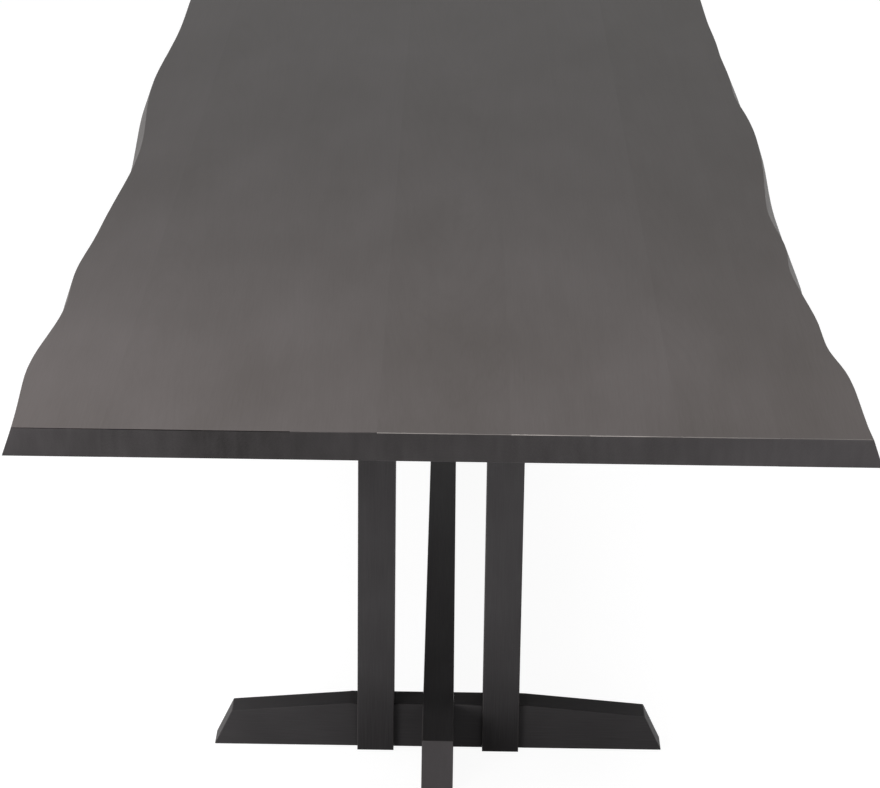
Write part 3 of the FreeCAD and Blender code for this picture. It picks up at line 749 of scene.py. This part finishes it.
class TABLE_OT_live_edge_boards(bpy.types.Operator):
    """Makes the two outer boards with their wavy, flared natural edges"""
    bl_idname = "table.live_edge_boards"
    bl_label = "Live-edge boards"

    def execute(self, context):
        edges = context.scene.table_edges
        sockets = {"Geometry": "Geometry", "Inward": "Vector", "Depth": "Float", "Length": "Float",
                   "Seed": "Float", "Material": "Material"}
        tree, given, end = new_tree("Natural edge", sockets)
        natural = add(tree, "GeometryNodeInputNamedAttribute", {"Name": "natural"},
                      data_type="FLOAT").outputs[0]
        place = add(tree, "GeometryNodeInputPosition").outputs[0]
        rate = add(tree, "ShaderNodeMath", {0: 1.0, 1: given["Length"]}, operation="DIVIDE").outputs[0]
        hollows = add(tree, "ShaderNodeTexNoise", {"Vector": place, "W": given["Seed"], "Scale": rate,
                                                   "Detail": 3.0}, noise_dimensions="4D").outputs["Fac"]
        cut = add(tree, "ShaderNodeMath", {0: hollows, 1: natural}, operation="MULTIPLY").outputs[0]
        depth = add(tree, "ShaderNodeMath", {0: cut, 1: given["Depth"]}, operation="MULTIPLY").outputs[0]
        move = add(tree, "ShaderNodeVectorMath", {0: given["Inward"], "Scale": depth}, operation="SCALE")
        moved = {"Geometry": given["Geometry"], "Offset": move.outputs[0]}
        worked = add(tree, "GeometryNodeSetPosition", moved).outputs[0]
        close_tree(tree, end, worked, given["Material"])
        for seed, node in enumerate(LIVE_BOARDS):
            side = -1 if node.endswith("left") else 1
            values = {"Inward": (-side, 0.0, 0.0), "Depth": edges.ripple, "Length": edges.ripple_length,
                      "Seed": RIPPLE_SEED + seed, "Material": wood("top", context.scene.table_wood)}
            mesh = grown(node, tree, values, self.board(node, side, edges))
            dress_wood(node, mesh, "Y", "top")
        return {"FINISHED"}

    def board(self, node, side, edges):
        """A board as stacked outlines, rounded at its arrises, with its natural side marked."""
        low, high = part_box(node)
        arris = edges.arris
        seam = high.x if side < 0 else low.x
        half = high.y
        thick = high.z - low.z
        points = np.array([v.co for v in NODES[node].data.vertices])
        stations = np.linspace(-half, half, edges.stations)

        def full_line(height):
            on_line = points[(abs(points[:, 2] - height) < LEVEL) & (abs(points[:, 0] - seam) > OFF_SEAM)]
            order = np.unique(on_line[:, 1].round(6), return_index=True)[1]
            return edge_line(on_line[order, 1], on_line[order, 0], stations, edges.knuckle)

        lower, upper = full_line(low.z + arris), full_line(high.z - arris)
        turns = [math.radians(90 / ARRIS_STEPS * n) for n in range(ARRIS_STEPS + 1)]
        levels = [(arris * (1 - math.cos(t)), arris * (1 - math.sin(t))) for t in turns]
        levels += [(arris + (thick - 2 * arris) * n / FLANK_STEPS, 0.0) for n in range(1, FLANK_STEPS)]
        levels += [(thick - height, ease) for height, ease in reversed(levels[:len(turns)])]
        mesh = bmesh.new()
        natural = mesh.verts.layers.float.new("natural")
        worn = mesh.faces.layers.float.new("worn")
        rows = []
        for height, ease in levels:
            share = (height - arris) / (thick - 2 * arris)
            line = lower + (upper - lower) * share - side * ease
            shrink = (half - ease) / half
            row = [mesh.verts.new((x, y * shrink, low.z + height)) for x, y in zip(line, stations)]
            for vert in row:
                vert[natural] = 1.0
            row += [mesh.verts.new((seam, y * shrink, low.z + height)) for y in (half, -half)]
            rows.append(row)
        for (under, over), (height, ease) in zip(zip(rows, rows[1:]), levels):
            for n in range(len(under)):
                after = (n + 1) % len(under)
                face = mesh.faces.new((under[n], under[after], over[after], over[n]))
                face.smooth = True
                # The upper arrises at the ends: lightened as wear and a painted highlight, or darkened as a
                # painted dark reflection.
                face[worn] = float(height >= thick - arris and n >= len(stations) - 1)
        mesh.faces.new(rows[0])
        mesh.faces.new(rows[-1])
        return closed(mesh, node)


class TABLE_OT_inner_boards(bpy.types.Operator):
    """Makes the seven straight boards glued up between the natural edges"""
    bl_idname = "table.inner_boards"
    bl_label = "Inner boards"

    def execute(self, context):
        for node in INNER_BOARDS:
            dress_wood(node, eased(node, context.scene.table_edges.board_end), "Y", "top")
        return {"FINISHED"}


class TABLE_OT_pedestals(bpy.types.Operator):
    """Makes the posts, the feet and the cleats that join them"""
    bl_idname = "table.pedestals"
    bl_label = "Pedestals"

    def execute(self, context):
        for nodes, along in ((POSTS, "Z"), (CROSS_BARS, "X")):
            for node in nodes:
                dress_wood(node, eased(node, context.scene.table_edges.base_arris), along, "base")
        return {"FINISHED"}


class TABLE_OT_stretcher(bpy.types.Operator):
    """Makes the floor bar that ties the pedestals together"""
    bl_idname = "table.stretcher"
    bl_label = "Stretcher"

    def execute(self, context):
        dress_wood("stretcher", eased("stretcher", context.scene.table_edges.base_arris), "Y", "base")
        return {"FINISHED"}


class TABLE_OT_fasteners(bpy.types.Operator):
    """Makes the bolts, washers and threaded inserts that hold the cleats and the stretcher"""
    bl_idname = "table.fasteners"
    bl_label = "Fasteners"

    def execute(self, context):
        sizes = context.scene.table_hardware
        steel, brass = black_steel(), turned_brass()
        kinds = {"bolts": (self.bolt, steel, "bolt_steel"), "washers": (self.washer, steel, "bolt_steel"),
                 "inserts": (self.insert, brass, "insert_brass")}
        for joint in ("cleat", "stretcher"):
            for kind, (shape, metal, slot) in kinds.items():
                self.put(f"{joint}_{kind}", shape, sizes, metal, slot)
        self.put("leveller_inserts", self.flanged_insert, sizes, brass, "insert_brass")
        return {"FINISHED"}

    def put(self, node, shape, sizes, metal, slot):
        """Shows a set of like fasteners."""
        half = solids(node)[0][1]
        show(f"{node}_shaped", turned_set(node, shape(sizes, half), metal), metal, [node], "table")

    def bolt(self, sizes, half):
        """A hexagon head, a plain shank and a thread with a chamfered tip."""
        head = sizes.bolt_head - half.z
        radius = sizes.thread_radius
        tip = half.z - sizes.tip
        return [(0.0, -half.z, ""), (CROWN * sizes.hexagon, -half.z, ""),
                (sizes.hexagon, -half.z, "hexagon_low"), (sizes.hexagon, head, "hexagon"),
                (radius, head, ""), (radius, 0.0, ""),
                *thread_rows(radius, sizes.pitch, tip, sizes.pitch, "thread"),
                (radius - sizes.tip, half.z, ""), (0.0, half.z, "")]

    def washer(self, sizes, half):
        """A stamped ring, rounded where the punch entered."""
        inner = sizes.thread_radius + sizes.bore_gap
        ease = sizes.metal_ease
        return [(inner, -half.z, ""), (half.x - ease, -half.z, ""),
                (half.x - 0.3 * ease, 0.3 * ease - half.z, ""), (half.x, ease - half.z, ""),
                (half.x, half.z, ""), (inner, half.z, ""), (inner, -half.z, "")]

    def insert(self, sizes, half):
        """A sleeve with a coarse thread for the wood outside and a machine thread inside."""
        inner = sizes.thread_radius + sizes.bore_gap
        mouth = (inner, -half.z, "")
        return [mouth, *self.sleeve(sizes, half.x, inner, -half.z, half.z), mouth]

    def flanged_insert(self, sizes, half):
        """The same sleeve with a flange that carries a levelling foot."""
        inner = sizes.thread_radius + sizes.stem_gap
        ease = sizes.metal_ease
        top = sizes.flange - half.z
        mouth = (inner, -half.z, "")
        return [mouth, (half.x - ease, -half.z, ""), (half.x, ease - half.z, ""), (half.x, top, ""),
                *self.sleeve(sizes, sizes.sleeve, inner, top, half.z), mouth]

    def sleeve(self, sizes, outer, inner, low, high):
        """The threaded length of an insert: up its outside and down its bore."""
        ease = sizes.metal_ease
        return [(outer - ease, low, ""),
                *thread_rows(outer, low + ease, high - ease, sizes.wood_pitch, "wood_thread"),
                (outer - ease, high, ""), (inner, high, ""),
                *thread_rows(inner, high - sizes.pitch, low + sizes.pitch, sizes.pitch, "bore_thread")]


class TABLE_OT_dowels(bpy.types.Operator):
    """Makes the fluted dowels that pin the posts to the feet and the cleats"""
    bl_idname = "table.dowels"
    bl_label = "Dowels"

    def execute(self, context):
        sizes = context.scene.table_hardware
        maple = wood("dowel", context.scene.table_wood)
        ease = sizes.dowel_ease
        for node in DOWELS:
            half = solids(node)[0][1]
            rows = [(0.0, -half.y, ""), (half.x - ease, -half.y, ""), (half.x, ease - half.y, "flute"),
                    (half.x, half.y - ease, "flute"), (half.x - ease, half.y, ""), (0.0, half.y, "")]
            dress_wood(node, turned_set(node, rows, maple, along="Y"), "Y", "dowel")
        return {"FINISHED"}


class TABLE_OT_levelling_feet(bpy.types.Operator):
    """Makes the swivelling pads and the threaded stems that screw out of the feet and the toes"""
    bl_idname = "table.levelling_feet"
    bl_label = "Levelling feet"

    def execute(self, context):
        sizes = context.scene.table_hardware
        kinds = {"pad": (self.pad, moulded_plastic(), "pad_plastic"),
                 "stem": (self.stem, plated_steel(), "zinc_steel")}
        for place in LEVELLERS:
            for kind, (shape, material, slot) in kinds.items():
                node = f"{kind}_{place}"
                mesh = turned_set(node, shape(sizes, solids(node)[0][1]), material)
                show(f"{node}_shaped", mesh, material, [node], f"leveller_{node}")
        return {"FINISHED"}

    def pad(self, sizes, half):
        """A round pad with moulded rings underneath and a socket for the stem's ball."""
        ease = sizes.pad_ease
        floor, hollow, rim = -half.z, sizes.pad_ring - half.z, sizes.pad_thick - half.z
        rows = [(0.0, hollow, "")]
        for share in (0.25, 0.5, 0.75):
            ring = share * half.x
            rows += [(ring - ease, hollow, ""), (ring - 0.6 * ease, floor, ""),
                     (ring + 0.6 * ease, floor, ""), (ring + ease, hollow, "")]
        rows += [(half.x - 2 * ease, hollow, ""), (half.x - 1.6 * ease, floor, ""),
                 (half.x - 0.5 * ease, floor, ""), (half.x, floor + 0.5 * ease, ""),
                 (half.x, rim - ease, ""), (half.x - 0.3 * ease, rim - 0.3 * ease, ""),
                 (half.x - ease, rim, ""), (sizes.socket + 0.5 * ease, rim, ""),
                 (sizes.socket, rim + 0.5 * ease, ""), (sizes.socket, half.z - ease, ""),
                 (sizes.socket - 0.3 * ease, half.z - 0.3 * ease, ""), (sizes.socket - ease, half.z, "")]
        cavity = sizes.ball + sizes.ball_gap
        middle = sizes.ball_height - half.z
        mouth = math.asin((half.z - middle) / cavity)
        rows += [(cavity * math.cos(turn), middle + cavity * math.sin(turn), "")
                 for turn in np.linspace(mouth, -math.pi / 2, BALL_ROWS)[:-1]]
        return rows + [(0.0, middle - cavity, "")]

    def stem(self, sizes, half):
        """A ball end, a neck, a hexagon for the spanner and a long thread."""
        middle = sizes.ball - half.z
        floor = sizes.ball - sizes.ball_height - half.z
        grip = floor + sizes.grip_start
        top = grip + sizes.grip_height
        radius, hexagon = sizes.thread_radius, sizes.hexagon
        rows = [(0.0, -half.z, "")]
        rows += [(sizes.ball * math.cos(turn), middle + sizes.ball * math.sin(turn), "")
                 for turn in np.linspace(-math.pi / 2, math.acos(sizes.neck / sizes.ball), BALL_ROWS)[1:]]
        rows += [(sizes.neck, grip, ""), (CROWN * hexagon, grip, ""), (hexagon, grip, "hexagon_low"),
                 (hexagon, top, "hexagon_high"), (CROWN * hexagon, top, ""), (radius, top, "")]
        rows += thread_rows(radius, top + sizes.pitch, half.z - sizes.tip, sizes.pitch, "thread")
        return rows + [(radius - sizes.tip, half.z, ""), (0.0, half.z, "")]


class TABLE_OT_stage(bpy.types.Operator):
    """Sets the floor, the white room, the lamps and the camera"""
    bl_idname = "table.stage"
    bl_label = "Stage"

    def execute(self, context):
        studio = context.scene.table_studio
        context.scene.view_settings.view_transform = "Standard"
        self.floor(studio)
        self.room(context.scene, studio)
        for name, (setting, size, place, aim) in LAMPS.items():
            self.lamp(name, getattr(studio, setting), size, place, aim)
        self.camera(context.scene)
        return {"FINISHED"}

    def seen(self, tree):
        """One for rays that show the background: straight to the camera, mirrored or through glass."""
        path = add(tree, "ShaderNodeLightPath").outputs
        direct = add(tree, "ShaderNodeMath", {0: path["Is Camera Ray"], 1: path["Is Glossy Ray"]},
                     operation="MAXIMUM").outputs[0]
        return add(tree, "ShaderNodeMath", {0: direct, 1: path["Is Transmission Ray"]},
                   operation="MAXIMUM").outputs[0]

    def floor(self, studio):
        """White painted floor: it shows white with a faint shadow, and can be looked through from below."""
        material = bpy.data.materials.new("Floor paint, matt white")
        material.use_nodes = True
        tree = material.node_tree
        tree.nodes.clear()
        paint = add(tree, "ShaderNodeBsdfDiffuse", {"Color": studio.floor}).outputs[0]
        soft = add(tree, "ShaderNodeBsdfDiffuse", {"Color": studio.floor_shade}).outputs[0]
        glow = add(tree, "ShaderNodeEmission", {"Color": WHITE, "Strength": studio.floor_glow}).outputs[0]
        white = add(tree, "ShaderNodeAddShader", {0: soft, 1: glow}).outputs[0]
        face = add(tree, "ShaderNodeMixShader", {0: self.seen(tree), 1: paint, 2: white}).outputs[0]
        clear = add(tree, "ShaderNodeBsdfTransparent").outputs[0]
        under = add(tree, "ShaderNodeNewGeometry").outputs["Backfacing"]
        whole = add(tree, "ShaderNodeMixShader", {0: under, 1: face, 2: clear}).outputs[0]
        add(tree, "ShaderNodeOutputMaterial", {"Surface": whole})
        corners = [(x * FLOOR_REACH, y * FLOOR_REACH, 0) for x, y in ((-1, -1), (1, -1), (1, 1), (-1, 1))]
        mesh = bpy.data.meshes.new("floor")
        mesh.from_pydata(corners, [], [(0, 1, 2, 3)])
        mesh.materials.append(material)
        ground = bpy.data.objects.new("floor", mesh)
        bpy.context.scene.collection.objects.link(ground)

    def room(self, scene, studio):
        """A white room that lights evenly and shows pure white behind the table."""
        scene.world = bpy.data.worlds.new("White room")
        scene.world.use_nodes = True
        tree = scene.world.node_tree
        tree.nodes.clear()
        light = add(tree, "ShaderNodeBackground", {"Color": WHITE, "Strength": studio.ambient}).outputs[0]
        white = add(tree, "ShaderNodeBackground", {"Color": WHITE, "Strength": 1.0}).outputs[0]
        whole = add(tree, "ShaderNodeMixShader", {0: self.seen(tree), 1: light, 2: white}).outputs[0]
        add(tree, "ShaderNodeOutputWorld", {"Surface": whole})

    def lamp(self, name, watts, size, place, aim):
        """A rectangular softbox pointed at a place on the table, kept out of the lacquer's reflections."""
        data = bpy.data.lights.new(name, "AREA")
        data.shape = "RECTANGLE"
        data.size, data.size_y = size
        data.energy = watts
        lamp = bpy.data.objects.new(name, data)
        lamp.location = place
        lamp.visible_glossy = False
        lamp.rotation_euler = (Vector(aim) - Vector(place)).to_track_quat("-Z", "Y").to_euler()
        bpy.context.scene.collection.objects.link(lamp)

    def camera(self, scene):
        """A long lens above the near end, looking down the table and a little rolled."""
        pitch, yaw, roll = (math.radians(angle) for angle in CAMERA_TURNS)
        ahead = math.cos(pitch)
        forward = Vector((math.sin(yaw) * ahead, math.cos(yaw) * ahead, -math.sin(pitch)))
        level = Vector((math.cos(yaw), -math.sin(yaw), 0.0))
        down = forward.cross(level)
        right = level * math.cos(roll) + down * math.sin(roll)
        up = level * math.sin(roll) - down * math.cos(roll)
        data = bpy.data.cameras.new("camera")
        data.sensor_fit = "HORIZONTAL"
        data.sensor_width = SENSOR
        data.lens = LENS
        data.clip_end = 100.0
        camera = bpy.data.objects.new("camera", data)
        turn = Matrix((right, up, -forward)).transposed().to_4x4()
        camera.matrix_world = Matrix.Translation(CAMERA_PLACE) @ turn
        scene.collection.objects.link(camera)
        scene.camera = camera


class TABLE_PT_pieces(bpy.types.Panel):
    """Lists the pieces of the table and their settings"""
    bl_idname = "TABLE_PT_pieces"
    bl_label = "Dining table"
    bl_space_type = "VIEW_3D"
    bl_region_type = "UI"
    bl_category = "Table"

    def draw(self, context):
        for operator in OPERATORS:
            self.layout.operator(operator.bl_idname)
        for name in SETTINGS:
            group = getattr(context.scene, name)
            box = self.layout.box()
            for label in group.__annotations__:
                box.prop(group, label)


OPERATORS = (TABLE_OT_live_edge_boards, TABLE_OT_inner_boards, TABLE_OT_pedestals, TABLE_OT_stretcher,
             TABLE_OT_fasteners, TABLE_OT_dowels, TABLE_OT_levelling_feet, TABLE_OT_stage)
SETTINGS = {"table_wood": WoodFinish, "table_edges": EdgeWork, "table_hardware": Hardware,
            "table_studio": Studio}


def register():
    """Adds the table's settings, operators and panel."""
    for kind in (*SETTINGS.values(), *OPERATORS, TABLE_PT_pieces):
        bpy.utils.register_class(kind)
    for name, kind in SETTINGS.items():
        setattr(bpy.types.Scene, name, PointerProperty(type=kind))


def unregister():
    """Takes them away again."""
    for name in SETTINGS:
        delattr(bpy.types.Scene, name)
    for kind in reversed((*SETTINGS.values(), *OPERATORS, TABLE_PT_pieces)):
        bpy.utils.unregister_class(kind)


def main():
    """Makes the table piece by piece."""
    register()
    bpy.ops.table.live_edge_boards()
    bpy.ops.table.inner_boards()
    bpy.ops.table.pedestals()
    bpy.ops.table.stretcher()
    bpy.ops.table.fasteners()
    bpy.ops.table.dowels()
    bpy.ops.table.levelling_feet()
    bpy.ops.table.stage()


if __name__ == "__main__":
    main()
